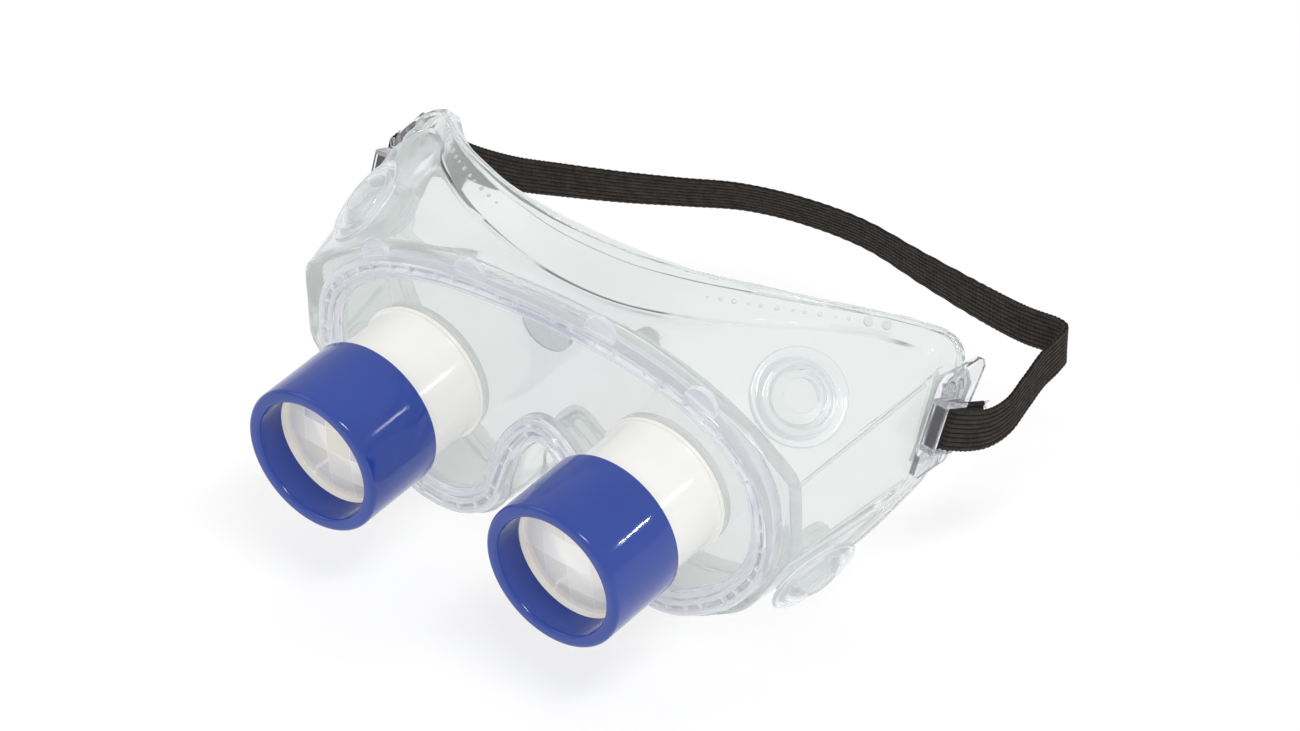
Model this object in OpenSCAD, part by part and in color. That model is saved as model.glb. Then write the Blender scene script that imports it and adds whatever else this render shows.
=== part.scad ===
/* [Face shell] */
// Wall of the soft clear face shell
shell_wall = 1.8; // [1.4:0.1:2.2]
// Wall of the rolled lip round the face opening
lip_wall = 3; // [2.2:0.2:3.4]
// Depth of the seat that the lens frame sits in
seat_depth = 3.7; // [3.5:0.1:4.5]

/* [Lens plate and frame] */
// Width of the frame's band
frame_band = 6.5; // [6:0.1:7]
// How far the frame stands in front of the lens plate
frame_front = 2.2; // [1.6:0.1:3]
// Thickness of the lens plate
plate_thick = 2; // [1.8:0.1:2]
// How far the plate's edge reaches into the frame
plate_grip = 3.5; // [2.5:0.1:3.8]
// Notches round the frame's front, on each side
notch_count = 11; // [6:1:14]

/* [Eyepieces] */
// Distance between the two eyepiece axes
eye_spacing = 74.8; // [74:0.2:76]
// Outside diameter of the white collars
collar_od = 35.6; // [35:0.2:36]
// Inside diameter of the white collars
collar_id = 30; // [28:0.5:31]
// How much of a collar shows between plate and sleeve
collar_show = 19.7; // [15:0.1:22]
// Outside diameter of the blue sleeves
sleeve_od = 40; // [39.5:0.1:41]
// Length of the blue sleeves
sleeve_len = 24.2; // [23:0.1:30]
// Bore in the front of a sleeve
seat_d = 33; // [32:0.2:33.4]
// Depth of that front bore
seat_len = 8.5; // [6:0.5:9]
// Running clearance between sleeve and collar, on the radius
run_gap = 0.06; // [0.02:0.01:0.1]

/* [Vents] */
// Diameter of a vent cap
vent_cap_d = 24.7; // [22:0.1:26]
// Diameter of the dome in the middle of a cap
vent_dome_d = 15; // [12:0.5:17]

/* [Headband] */
// Width of the elastic strap
strap_w = 10.6; // [9:0.2:10.8]
// Thickness of the elastic strap
strap_t = 1.2; // [0.9:0.1:1.2]

/* [Hidden] */

round_fn = 96;
gap = 0.1;
cut = 1;
steps = 3;
seat_ledge = 2.6;
seat_clear = 0.5;
notch_r = 1.5;
notch_deep = 0.7;
collar_end = 30;
lens_thick = 2.8;
lens_base = 1.2;
lens_dome = 1.5;
lens_rim = 1.4;
facet_rings = 3;
ring_len = 2.4;
ring_wall = 1.9;
sleeve_round = 1.2;
nut_len = 1.2;
nut_d = 37;
spigot_d = 32.6;
foot_d = 37.6;
foot_len = 1;
boss_r = 9.3;
boss_out = 3.2;
boss_in = 4.8;
stem_r = 6;
stem_ring = 1.4;
cap_thick = 1.3;
dome_high = 2.6;
side_flare = 6;
side_at = [83.6, 42, 0];
clip_lean = 27;
clip_at = [0, -2.6, 7.2];
clip_plate = 1.7;
clip_out = 5.4;
clip_slot = 11;
clip_arm = 1.2;
clip_reach = 8.6;
clip_wall = 1.5;
bar_at = [4.4, 5.4];
bar_r = 0.8;
bar_clear = 0.35;
peg_at = [8.6, 10.5];
peg_r = 2;
block_thick = 3;

// Half of the lens frame's outer edge, [x, z], from the top middle round to the nose
rim_half = [[0, 39.2], [11, 38.9], [21, 38.2], [31, 36.8], [40, 34.6], [49, 31.4], [56, 27.4],
    [62, 22.2], [66.8, 16.4], [69.6, 9.4], [70.6, 1], [70, -7.4], [66.6, -17], [59, -27.2], [50, -34.4],
    [40, -39.4], [30, -40], [21, -36.4], [15, -30], [12.4, -22.6], [8.8, -13.8], [4, -6.8], [0, -4.2]];

// The same stations on the shell's front edge, [x, z]
front_half = [[0, 40.4], [11, 40.1], [21.4, 39.4], [31.6, 38], [41, 35.8], [50.2, 32.6], [58, 28.8],
    [65.4, 24.2], [72.8, 18.6], [75.6, 14.6], [75.8, 4.6], [75.6, -5.4], [72.6, -11], [61.6, -28],
    [51, -35.6], [40.6, -40.6], [29.4, -41.2], [20, -37.2], [13.8, -30.2], [11.4, -22], [7.9, -13.2],
    [3.6, -7.6], [0, -5.4]];

// The same stations on the crease where the walls turn into the face flange, [x, y, z]
crease_half = [[0, 18, 31], [11, 18.2, 31.6], [21, 19, 33.2], [31, 20.4, 35.2], [40.6, 22.7, 36.8],
    [50.4, 28.6, 36.4], [59, 35.4, 34.8], [68.4, 46.6, 29.6], [78.4, 53.8, 24.2], [83.4, 48.6, 22.8],
    [83.2, 44, 10.6], [82.6, 39.4, -2], [78, 33, -10.4], [64, 27.4, -29], [51.6, 24.4, -38],
    [40, 22, -43], [28.6, 19.4, -42.6], [19.6, 16.8, -38], [13.6, 14.8, -30.6], [11.2, 13.4, -22.4],
    [7.7, 12, -13.6], [3.4, 11, -8], [0, 10.8, -5.8]];

// The same stations on the lip that lies on the face, [x, y, z]
lip_half = [[0, 24.5, 43.2], [11, 24.9, 43.2], [21, 26.5, 43], [31, 29, 42.6], [41, 33, 41.6],
    [51.6, 38.4, 39.6], [61, 44.9, 36.8], [70.6, 52.8, 32.6], [78.6, 61, 26.4], [84.6, 58.6, 22.4],
    [84.4, 53, 10.6], [83.4, 47.2, -2], [80, 41, -10], [66, 35.6, -30], [53, 31.6, -40.4],
    [40.6, 28.6, -46.4], [28, 25.4, -46], [18.6, 22, -40.4], [12.8, 19.6, -31.6], [10.6, 18.2, -22.8],
    [7.3, 16.8, -14], [3.2, 15.8, -8.4], [0, 15.6, -6.2]];

// Where the right-hand vents sit, and which way they face
top_vent_at = [64.8, 17.2, 27.4];
top_vent_axis = [0.6, -0.38, 0.7];
low_vent_at = [66.6, 17, -22.4];
low_vent_axis = [0.88, -0.22, -0.42];

// The strap's middle line from the right clip round the back to the left clip:
// [x, y, z, lean], where lean tips the strap's upper edge back, in degrees
strap_route = [[92.6, 51, 8.8, 27], [94.4, 56, 7.6, 24], [95.4, 62, 8, 20], [95.4, 69, 10.4, 14],
    [95.2, 76, 12.6, 10], [95.6, 82, 13.8, 6], [95, 86, 14.2, 4], [91.6, 87.4, 14.2, 6],
    [82, 87.2, 13.6, 8], [68.6, 88.8, 13, 6], [48, 92, 12.5, -2], [27, 95.6, 12, -10],
    [8.5, 95, 11.5, -14], [-8, 91.4, 11, -16], [-22, 84.8, 10.5, -14], [-36, 78.2, 10, -8],
    [-50.6, 72.2, 9.5, -2], [-63, 67.4, 9.2, 2], [-75, 64.6, 9.4, 8], [-84.6, 64.6, 9.8, 14],
    [-91, 61.6, 9.8, 18], [-93, 56, 9.4, 24], [-91.8, 51, 9.2, 27]];

function unit(v) = v / norm(v);
function curve(a, b, c, d, t) = 0.5 * (2 * b + t * (c - a) + t * t * (2 * a - 5 * b + 4 * c - d)
    + t * t * t * (3 * b - a - 3 * c + d));
function flip_x(p) = [for (i = [0:len(p) - 1]) i == 0 ? -p[i] : p[i]];
function loop_of(half) = concat(half, [for (i = [len(half) - 2:-1:1]) flip_x(half[i])]);
function smooth_loop(p) = [for (i = [0:len(p) - 1]) for (s = [0:steps - 1])
    curve(p[(i + len(p) - 1) % len(p)], p[i], p[(i + 1) % len(p)], p[(i + 2) % len(p)], s / steps)];
function outward(p, i) = let (d = p[(i + 1) % len(p)] - p[(i + len(p) - 1) % len(p)]) unit([-d[1], d[0]]);
function grown(p, by) = [for (i = [0:len(p) - 1]) p[i] + by * outward(p, i)];
function at_depth(p, y) = [for (q = p) [q[0], y, q[1]]];
function blend(a, b, t) = [for (i = [0:len(a) - 1]) a[i] * (1 - t) + b[i] * t];

rim_edge = smooth_loop(loop_of(rim_half));
front_edge = smooth_loop(loop_of(front_half));
crease_edge = smooth_loop(loop_of(crease_half));
lip_edge = smooth_loop(loop_of(lip_half));
back_edge = at_depth(front_edge, 1.6);
shell_rows = [at_depth(grown(rim_edge, -seat_ledge), seat_depth),
    at_depth(grown(rim_edge, seat_clear), seat_depth), at_depth(front_edge, 0.7), blend(back_edge, crease_edge, 0.5), blend(back_edge, crease_edge, 0.93),
    blend(crease_edge, lip_edge, 0.12), blend(crease_edge, lip_edge, 0.7), lip_edge];

function row_normal(rows, i, j) = let (m = len(rows), n = len(rows[0]),
    along = rows[i][(j + 1) % n] - rows[i][(j + n - 1) % n],
    across = rows[min(i + 1, m - 1)][j] - rows[max(i - 1, 0)][j]) unit(cross(along, across));
function row_inside(rows, i, wall) = [for (j = [0:len(rows[i]) - 1])
    rows[i][j] - wall * row_normal(rows, i, j)];

seat_back = seat_depth + shell_wall;
lip_row = len(shell_rows) - 1;
inner_rows = [at_depth(grown(rim_edge, -seat_ledge), seat_back),
    at_depth(grown(rim_edge, 1 - seat_ledge), seat_back + 0.1),
    at_depth(grown(front_edge, -shell_wall - 0.2), seat_back + 0.4),
    for (i = [3:lip_row]) row_inside(shell_rows, i, i == lip_row ? lip_wall : shell_wall)];

// A closed skin between outer rows and inner rows, which have the same number of points
module skin(outer, inner) {
    m = len(outer);
    n = len(outer[0]);
    out_faces = [for (i = [0:m - 2]) for (j = [0:n - 1]) let (k = (j + 1) % n)
        each [[i * n + j, (i + 1) * n + k, i * n + k], [i * n + j, (i + 1) * n + j, (i + 1) * n + k]]];
    in_faces = [for (f = out_faces) [f[0] + m * n, f[2] + m * n, f[1] + m * n]];
    ends = [for (j = [0:n - 1]) let (k = (j + 1) % n, a = (m - 1) * n)
        each [[j, k, m * n + j], [k, m * n + k, m * n + j],
            [a + k, a + j, m * n + a + k], [a + j, m * n + a + j, m * n + a + k]]];
    polyhedron(points = [for (r = concat(outer, inner)) each r], faces = concat(out_faces, in_faces, ends));
}

// Draws its children with +Z along the direction v
module aim(v) {
    rotate([0, acos(v[2] / norm(v)), atan2(v[1], v[0])]) children();
}

// Draws its children at a vent: side is 1 on the right, up is 1 at the top
module at_vent(side, up) {
    at = up > 0 ? top_vent_at : low_vent_at;
    axis = up > 0 ? top_vent_axis : low_vent_axis;
    translate([side * at[0], at[1], at[2]]) aim([side * axis[0], axis[1], axis[2]]) children();
}

// Turns a flat outline in X and Z into a plate from y0 to y1
module slab(p, y0, y1) {
    translate([0, y1, 0]) rotate([90, 0, 0]) linear_extrude(y1 - y0) polygon(p);
}

// Draws its children with +Z along an eyepiece axis, towards the front, at depth y
module at_eye(side, y) {
    translate([side * eye_spacing / 2, y, 0]) rotate([90, 0, 0]) children();
}

// Draws its children on the right, or mirrored on the left
module on_side(side) {
    if (side > 0) children();
    else mirror([1, 0, 0]) children();
}

// The temple's flat outer face: +X out, +Y back along the wall, +Z up
module at_temple(side) {
    on_side(side) translate(side_at) rotate([0, 0, -side_flare]) children();
}

// An outline in the temple's Y and Z, from x0 to x1
module temple_slab(p, x0, x1) {
    translate([x0, 0, 0]) rotate([90, 0, 90]) linear_extrude(x1 - x0) polygon(p);
}

module peg(r, x0, x1) {
    translate([x0, peg_at[0], peg_at[1]]) rotate([0, 90, 0]) cylinder(r = r, h = x1 - x0, $fn = round_fn);
}

// A point in the right clip's strap box, moved to the part's own frame
function clip_point(x, y, z) = let (ya = y * cos(clip_lean) + z * sin(clip_lean) + clip_at[1],
    za = z * cos(clip_lean) - y * sin(clip_lean) + clip_at[2])
    side_at + [x * cos(side_flare) + ya * sin(side_flare), ya * cos(side_flare) - x * sin(side_flare), za];

clip_outline = [[-4.6, 0.2], [-3, -1.8], [6.6, -1.8], [8.4, -0.4], [21.6, 18.4], [21.4, 20.6], [19.6, 21.8],
    [8.6, 22.4], [6.4, 21]];
block_outline = [[-2.4, 1.4], [7.6, 0.4], [17.4, 15.4], [16.6, 19.4], [8, 20.4]];
tongue_outline = concat([[10.5, 38], [-10.5, 38]], [for (a = [-180:15:0]) [7.6 * cos(a), 29 + 7 * sin(a)]]);

module face_shell() {
    color("aliceblue", 0.4) difference() {
        union() {
            skin(shell_rows, inner_rows);
            slab(tongue_outline, seat_depth + 0.2, seat_depth + shell_wall);
            for (side = [-1, 1]) {
                for (up = [-1, 1]) at_vent(side, up) translate([0, 0, -boss_in])
                    cylinder(r = boss_r, h = boss_in + boss_out, $fn = round_fn);
                at_temple(side) temple_slab(block_outline, -block_thick, 0);
            }
        }
        for (side = [-1, 1], up = [-1, 1]) at_vent(side, up) translate([0, 0, -boss_in - 4])
            cylinder(r = stem_r + gap, h = boss_in + boss_out + 8, $fn = round_fn);
        for (side = [-1, 1]) at_temple(side) {
            peg(peg_r + gap, -block_thick - 2, 2);
            temple_slab(grown(clip_outline, 1), 0, 6);
        }
    }
}

// A band that follows the lens frame's edge, from reach outside it to reach inside it
module band(out, in, y0, y1) {
    difference() {
        slab(grown(rim_edge, out), y0, y1);
        slab(grown(rim_edge, -in), y0 - cut, y1 + cut);
    }
}

module lens_frame() {
    notch_gap = floor(len(rim_edge) / 2 / notch_count);
    color("lavender", 0.5) difference() {
        band(0, frame_band, -frame_front, seat_depth - gap);
        slab(grown(rim_edge, plate_grip - frame_band + gap), -gap, plate_thick + gap);
        for (i = [0:notch_gap:len(rim_edge) - 1])
            translate([rim_edge[i][0], -frame_front - cut, rim_edge[i][1]]) rotate([-90, 0, 0])
                cylinder(r = notch_r, h = notch_deep + cut, $fn = 24);
    }
}

module lens_plate() {
    color("white", 0.3) difference() {
        slab(grown(rim_edge, plate_grip - frame_band), 0, plate_thick);
        for (side = [-1, 1]) at_eye(side, plate_thick + cut)
            cylinder(d = spigot_d + 2 * gap, h = plate_thick + 2 * cut, $fn = round_fn);
    }
}

module collar(side) {
    color("ivory") at_eye(side, 0) difference() {
        union() {
            translate([0, 0, gap]) cylinder(d = foot_d, h = foot_len, $fn = round_fn);
            translate([0, 0, gap]) cylinder(d = collar_od, h = collar_end - gap, $fn = round_fn);
            translate([0, 0, -plate_thick - nut_len - 2 * gap])
                cylinder(d = spigot_d, h = plate_thick + nut_len + 1, $fn = round_fn);
        }
        translate([0, 0, -plate_thick - nut_len - cut])
            cylinder(d = collar_id, h = collar_end + plate_thick + nut_len + 2 * cut, $fn = round_fn);
    }
}

module collar_nut(side) {
    color("gainsboro") at_eye(side, plate_thick + gap + nut_len) difference() {
        cylinder(d = nut_d, h = nut_len, $fn = round_fn);
        translate([0, 0, -cut]) cylinder(d = spigot_d + 2 * gap, h = nut_len + 2 * cut, $fn = round_fn);
    }
}

// A ring with its outer edges rounded by r, standing on z0
module round_tube(z0, z1, ro, ri, r) {
    rotate_extrude($fn = round_fn) polygon(concat([[ri, z1], [ri, z0], [ro - 0.4, z0], [ro, z0 + 0.4]],
        [for (a = [0:15:90]) [ro - r + r * cos(a), z1 - r + r * sin(a)]]));
}

module sleeve(side) {
    front = collar_show + sleeve_len;
    color("royalblue") at_eye(side, 0) difference() {
        round_tube(collar_show, front, sleeve_od / 2, seat_d / 2, sleeve_round);
        translate([0, 0, collar_show - cut])
            cylinder(r = collar_od / 2 + run_gap, h = sleeve_len - seat_len + cut, $fn = round_fn);
    }
}

// A disc with a raised edge that seats in the sleeve, and a faceted dome that stays below that edge
module faceted_lens(side) {
    face = collar_show + sleeve_len - seat_len;
    wide = collar_od / 2 - gap - lens_rim;
    color("linen", 0.8) at_eye(side, 0) translate([0, 0, face - lens_thick]) {
        difference() {
            cylinder(r = collar_od / 2 - gap, h = lens_thick - 0.02, $fn = round_fn);
            translate([0, 0, lens_base]) cylinder(r = wide, h = lens_thick, $fn = round_fn);
        }
        for (i = [0:facet_rings - 1])
            translate([0, 0, lens_base - 0.2 + lens_dome * i / facet_rings]) rotate([0, 0, 15 * i])
                cylinder(r1 = wide * (1 - 0.28 * i), r2 = wide * (1 - 0.28 * (i + 1)),
                    h = 0.2 + lens_dome / facet_rings, $fn = 12);
    }
}

module lens_ring(side) {
    face = collar_show + sleeve_len - seat_len - lens_thick;
    color("midnightblue") at_eye(side, 0) translate([0, 0, face - ring_len]) difference() {
        cylinder(r = collar_od / 2 - gap, h = ring_len - 0.05, $fn = round_fn);
        translate([0, 0, -cut])
            cylinder(r = collar_od / 2 - ring_wall, h = ring_len + 2 * cut, $fn = round_fn);
    }
}

module vent_cap(side, up) {
    ro = vent_cap_d / 2;
    rd = vent_dome_d / 2;
    z = boss_out + gap;
    top = z + cap_thick;
    color("white", 0.6) at_vent(side, up) {
        rotate_extrude($fn = round_fn) polygon(concat(
            [[0, z], [ro - 0.6, z], [ro, z + 0.5], [ro - 0.3, top], [rd + 2, top + 0.4], [rd + 0.4, top]],
            [for (a = [0:15:90]) [rd * cos(a), top + dome_high * sin(a)]]));
        translate([0, 0, -boss_in - 2]) cylinder(r = stem_r, h = boss_in + 2 + z + 0.5, $fn = round_fn);
    }
}

module vent_ring(side, up) {
    color("silver") at_vent(side, up) translate([0, 0, -boss_in - gap - stem_ring]) difference() {
        cylinder(r = stem_r + 2.6, h = stem_ring, $fn = round_fn);
        translate([0, 0, -cut]) cylinder(r = stem_r + 0.05, h = stem_ring + 2 * cut, $fn = round_fn);
    }
}

module strap_clip(side) {
    tall = clip_slot + 2 * clip_arm;
    root = clip_plate - 0.3;
    color("lavender", 0.6) at_temple(side) {
        temple_slab(clip_outline, gap, clip_plate);
        peg(peg_r, -block_thick, clip_plate);
        translate(clip_at) rotate([-clip_lean, 0, 0]) {
            for (z = [0, tall - clip_arm])
                translate([root, 0, z]) cube([clip_out - root, clip_reach, clip_arm]);
            translate([root, 0, 0]) cube([clip_out - root, clip_wall, tall]);
            translate([bar_at[0], bar_at[1], 0]) cylinder(r = bar_r, h = tall, $fn = round_fn);
        }
    }
}

// The strap's turn round a clip's bar, from the free end on the inner side to the outer side
wrap_r = bar_r + bar_clear + strap_t / 2;
wrap_mid = clip_arm + clip_slot / 2;
clip_turn = concat([for (y = [19, 15, 10]) clip_point(bar_at[0] - wrap_r + 0.02 * (y - 10), y, wrap_mid)],
    [for (a = [180:45:360])
        clip_point(bar_at[0] + wrap_r * cos(a), bar_at[1] + wrap_r * sin(a), wrap_mid)]);
right_turn = [for (p = clip_turn) [p[0], p[1], p[2], clip_lean]];
left_turn = [for (i = [len(right_turn) - 1:-1:0]) flip_x(right_turn[i])];
strap_line = concat(right_turn, strap_route, left_turn);
function smooth_line(p) = [for (i = [0:len(p) - 2]) for (t = i < len(p) - 2 ? [0, 0.5] : [0, 0.5, 1])
    curve(p[max(i - 1, 0)], p[i], p[i + 1], p[min(i + 2, len(p) - 1)], t)];

module strap() {
    line = smooth_line(strap_line);
    n = len(line);
    at = [for (p = line) [p[0], p[1], p[2]]];
    run = [for (i = [0:n - 1]) unit(at[min(i + 1, n - 1)] - at[max(i - 1, 0)])];
    tip = [for (i = [0:n - 1]) let (w = [0, sin(line[i][3]), cos(line[i][3])])
        unit(w - (w * run[i]) * run[i])];
    face = [for (i = [0:n - 1]) cross(run[i], tip[i])];
    corners = [for (i = [0:n - 1]) for (c = [[-1, -1], [1, -1], [1, 1], [-1, 1]])
        at[i] + c[0] * strap_t / 2 * face[i] + c[1] * strap_w / 2 * tip[i]];
    sides = [for (i = [0:n - 2]) for (j = [0:3]) let (a = i * 4 + j, b = i * 4 + (j + 1) % 4)
        each [[a, b + 4, a + 4], [a, b, b + 4]]];
    last = 4 * (n - 1);
    color([0.16, 0.15, 0.13]) polyhedron(points = corners, faces = concat(sides,
        [[2, 1, 0], [3, 2, 0], [last, last + 1, last + 2], [last, last + 2, last + 3]]));
}

face_shell();
lens_frame();
lens_plate();
collar(-1);  // left_collar
collar_nut(-1);  // left_collar_nut
sleeve(-1);  // left_sleeve
faceted_lens(-1);  // left_faceted_lens
lens_ring(-1);  // left_lens_ring
collar(1);  // right_collar
collar_nut(1);  // right_collar_nut
sleeve(1);  // right_sleeve
faceted_lens(1);  // right_faceted_lens
lens_ring(1);  // right_lens_ring
vent_cap(-1, 1);  // top_left_vent_cap
vent_cap(1, 1);  // top_right_vent_cap
vent_cap(-1, -1);  // bottom_left_vent_cap
vent_cap(1, -1);  // bottom_right_vent_cap
vent_ring(-1, 1);  // top_left_vent_ring
vent_ring(1, 1);  // top_right_vent_ring
vent_ring(-1, -1);  // bottom_left_vent_ring
vent_ring(1, -1);  // bottom_right_vent_ring
strap_clip(-1);  // left_strap_clip
strap_clip(1);  // right_strap_clip
strap();
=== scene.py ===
import math
import random

import bmesh
import bpy
from mathutils import Matrix, Vector


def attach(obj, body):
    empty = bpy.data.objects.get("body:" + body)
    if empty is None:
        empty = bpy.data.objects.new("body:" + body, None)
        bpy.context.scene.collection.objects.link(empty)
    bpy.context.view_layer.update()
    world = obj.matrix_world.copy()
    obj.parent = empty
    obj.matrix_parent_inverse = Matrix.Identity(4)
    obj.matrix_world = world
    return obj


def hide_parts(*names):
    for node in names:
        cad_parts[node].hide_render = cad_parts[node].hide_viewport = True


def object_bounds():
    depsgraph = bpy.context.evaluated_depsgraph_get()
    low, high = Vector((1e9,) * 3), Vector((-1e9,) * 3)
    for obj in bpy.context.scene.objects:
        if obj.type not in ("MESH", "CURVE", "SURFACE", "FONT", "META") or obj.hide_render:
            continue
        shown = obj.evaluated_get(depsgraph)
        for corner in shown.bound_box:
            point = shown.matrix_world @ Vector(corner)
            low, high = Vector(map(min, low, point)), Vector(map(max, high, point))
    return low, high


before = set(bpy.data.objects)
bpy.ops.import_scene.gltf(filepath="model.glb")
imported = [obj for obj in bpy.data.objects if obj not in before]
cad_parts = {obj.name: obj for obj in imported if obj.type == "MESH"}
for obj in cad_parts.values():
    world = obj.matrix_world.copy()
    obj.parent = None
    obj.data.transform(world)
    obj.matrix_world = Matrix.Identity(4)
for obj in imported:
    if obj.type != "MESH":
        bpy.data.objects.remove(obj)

cadLow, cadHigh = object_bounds()
mm = 0.001
random.seed(11)
print("frame loaded:", len(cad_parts), "nodes")

camera = {"place": (0.8324, -0.9678, 1.0183), "azimuth": 39.5, "elevation": 38.1, "roll": -2.4, "lens": 185.12,
          "sensor": 36, "clip": (0.05, 20)}


def makeCamera():
    a, e, r = (math.radians(camera[k]) for k in ("azimuth", "elevation", "roll"))
    right = Vector((math.cos(a), math.sin(a), 0))
    up = Vector((-math.sin(a) * math.sin(e), math.cos(a) * math.sin(e), math.cos(e)))
    back = Vector((math.sin(a) * math.cos(e), -math.cos(a) * math.cos(e), math.sin(e)))
    turned = Matrix((math.cos(r) * right + math.sin(r) * up, math.cos(r) * up - math.sin(r) * right, back))
    data = bpy.data.cameras.new("camera")
    data.lens, data.sensor_width = camera["lens"], camera["sensor"]
    data.clip_start, data.clip_end = camera["clip"]
    obj = bpy.data.objects.new("camera", data)
    bpy.context.scene.collection.objects.link(obj)
    obj.matrix_world = Matrix.Translation(camera["place"]) @ turned.transposed().to_4x4()
    bpy.context.scene.camera = obj


makeCamera()


# helpers for curves and meshes; every shape is worked out in millimetres
def curvePoint(a, b, c, d, t):
    return 0.5 * (2 * b + t * (c - a) + t * t * (2 * a - 5 * b + 4 * c - d) + t ** 3 * (3 * b - a - 3 * c + d))


def closedCurve(points, steps):
    n = len(points)
    return [curvePoint(points[i - 1], points[i], points[(i + 1) % n], points[(i + 2) % n], s / steps)
            for i in range(n) for s in range(steps)]


def openCurve(points, steps):
    n = len(points)
    line = [curvePoint(points[max(i - 1, 0)], points[i], points[i + 1], points[min(i + 2, n - 1)], s / steps)
            for i in range(n - 1) for s in range(steps)]
    return line + [points[-1]]


def bothSides(half):
    return half + [Vector((-p.x, *p[1:])) for p in half[-2:0:-1]]


def outwardAt(loop, i):
    d = loop[(i + 1) % len(loop)] - loop[i - 1]
    return Vector((-d.y, d.x)).normalized()


def grown(loop, by):
    return [p + by * outwardAt(loop, i) for i, p in enumerate(loop)]


def atDepth(loop, y):
    return [Vector((p.x, y, p.y)) for p in loop]


def evenly(loop, count):
    ends = loop + [loop[0]]
    run = [0]
    for a, b in zip(ends, ends[1:]):
        run.append(run[-1] + (b - a).length)
    out, k = [], 0
    for i in range(count):
        want = run[-1] * i / count
        while run[k + 1] < want:
            k += 1
        out.append(ends[k].lerp(ends[k + 1], (want - run[k]) / max(run[k + 1] - run[k], 1e-9)))
    return out, run[-1]


def loft(rows, around=True, across=False):
    m, n = len(rows), len(rows[0])
    verts = [p for row in rows for p in row]
    faces = [(i * n + j, i * n + (j + 1) % n, (i + 1) % m * n + (j + 1) % n, (i + 1) % m * n + j)
             for i in range(m if across else m - 1) for j in range(n if around else n - 1)]
    return verts, faces


def makePiece(name, verts, faces, material, body, stands=(), smooth=32, bevel=0, segments=2, weld=True):
    bm = bmesh.new()
    made = [bm.verts.new(Vector(v) * mm) for v in verts]
    for f in faces:
        if len(set(f)) > 2:
            bm.faces.new([made[i] for i in f])
    if weld:
        bmesh.ops.remove_doubles(bm, verts=bm.verts, dist=1e-6)
    bmesh.ops.recalc_face_normals(bm, faces=bm.faces)
    if bevel:
        sharp = [e for e in bm.edges if len(e.link_faces) == 2 and e.calc_face_angle(0) > math.radians(30)]
        bmesh.ops.bevel(bm, geom=sharp, offset=bevel * mm, segments=segments, profile=0.7, affect="EDGES",
                        clamp_overlap=True)
    mesh = bpy.data.meshes.new(name)
    bm.to_mesh(mesh)
    bm.free()
    for p in mesh.polygons:
        p.use_smooth = smooth > 0
    if smooth:
        mesh.set_sharp_from_angle(angle=math.radians(smooth))
    mesh.materials.append(material)
    obj = bpy.data.objects.new(name, mesh)
    bpy.context.scene.collection.objects.link(obj)
    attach(obj, body)
    if stands:
        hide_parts(*stands)
    return obj


def capped(rows):
    verts, faces = loft(rows)
    n, total = len(rows[0]), len(verts)
    return verts, faces + [tuple(range(n - 1, -1, -1)), tuple(range(total - n, total))]


def lathe(profile, steps, closed=True):
    rows = [[Vector((r * math.cos(2 * math.pi * k / steps), r * math.sin(2 * math.pi * k / steps), z))
             for k in range(steps)] for r, z in profile]
    return loft(rows, True, closed)


def aimed(verts, place, axis):
    turn = Vector(axis).to_track_quat("Z", "Y").to_matrix()
    return [turn @ v + Vector(place) for v in verts]


def slab(outline, y0, y1):
    n = len(outline)
    verts = [Vector((p[0], y, p[1])) for y in (y0, y1) for p in outline]
    faces = [tuple(range(n)), tuple(range(2 * n - 1, n - 1, -1))]
    return verts, faces + [(i, (i + 1) % n, n + (i + 1) % n, n + i) for i in range(n)]


def joined(parts):
    verts, faces = [], []
    for v, f in parts:
        faces += [tuple(i + len(verts) for i in face) for face in f]
        verts += list(v)
    return verts, faces


# helpers for materials
class Nodes:
    def __init__(self, name):
        self.material = bpy.data.materials.new(name)
        self.material.use_nodes = True
        self.tree = self.material.node_tree
        self.tree.nodes.clear()
        self.out = self.add("ShaderNodeOutputMaterial")
        self.place = self.add("ShaderNodeTexCoord").outputs["Object"]

    def add(self, kind, inputs=None, **settings):
        node = self.tree.nodes.new(kind)
        for key, value in settings.items():
            setattr(node, key, value)
        for key, value in (inputs or {}).items():
            if isinstance(value, bpy.types.NodeSocket):
                self.tree.links.new(value, node.inputs[key])
            else:
                node.inputs[key].default_value = value
        return node

    def noise(self, scale, detail=3, stretch=None):
        at = self.place
        if stretch:
            at = self.add("ShaderNodeMapping", {"Vector": at, "Scale": stretch}).outputs[0]
        return self.add("ShaderNodeTexNoise", {"Vector": at, "Scale": scale, "Detail": detail}).outputs[0]

    def ramp(self, value, *stops):
        node = self.add("ShaderNodeValToRGB", {"Fac": value})
        points = node.color_ramp.elements
        while len(points) < len(stops):
            points.new(0.5)
        for point, (at, colour) in zip(points, stops):
            point.position = at
            point.color = (*colour, 1) if isinstance(colour, tuple) else (colour, colour, colour, 1)
        return node.outputs[0]

    def bump(self, height, strength, distance, normal=None):
        node = self.add("ShaderNodeBump", {"Height": height, "Strength": strength, "Distance": distance})
        if normal is not None:
            self.tree.links.new(normal, node.inputs["Normal"])
        return node.outputs[0]

    def show(self, shader):
        self.tree.links.new(shader, self.out.inputs["Surface"])
        return self.material


def mixColour(n, factor, a, b):
    node = n.add("ShaderNodeMix", data_type="RGBA")
    for socket, value in zip((node.inputs[0], node.inputs[6], node.inputs[7]), (factor, a, b)):
        if isinstance(value, bpy.types.NodeSocket):
            n.tree.links.new(value, socket)
        else:
            socket.default_value = value if isinstance(value, float) else (*value, 1)
    return node.outputs[2]


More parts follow.
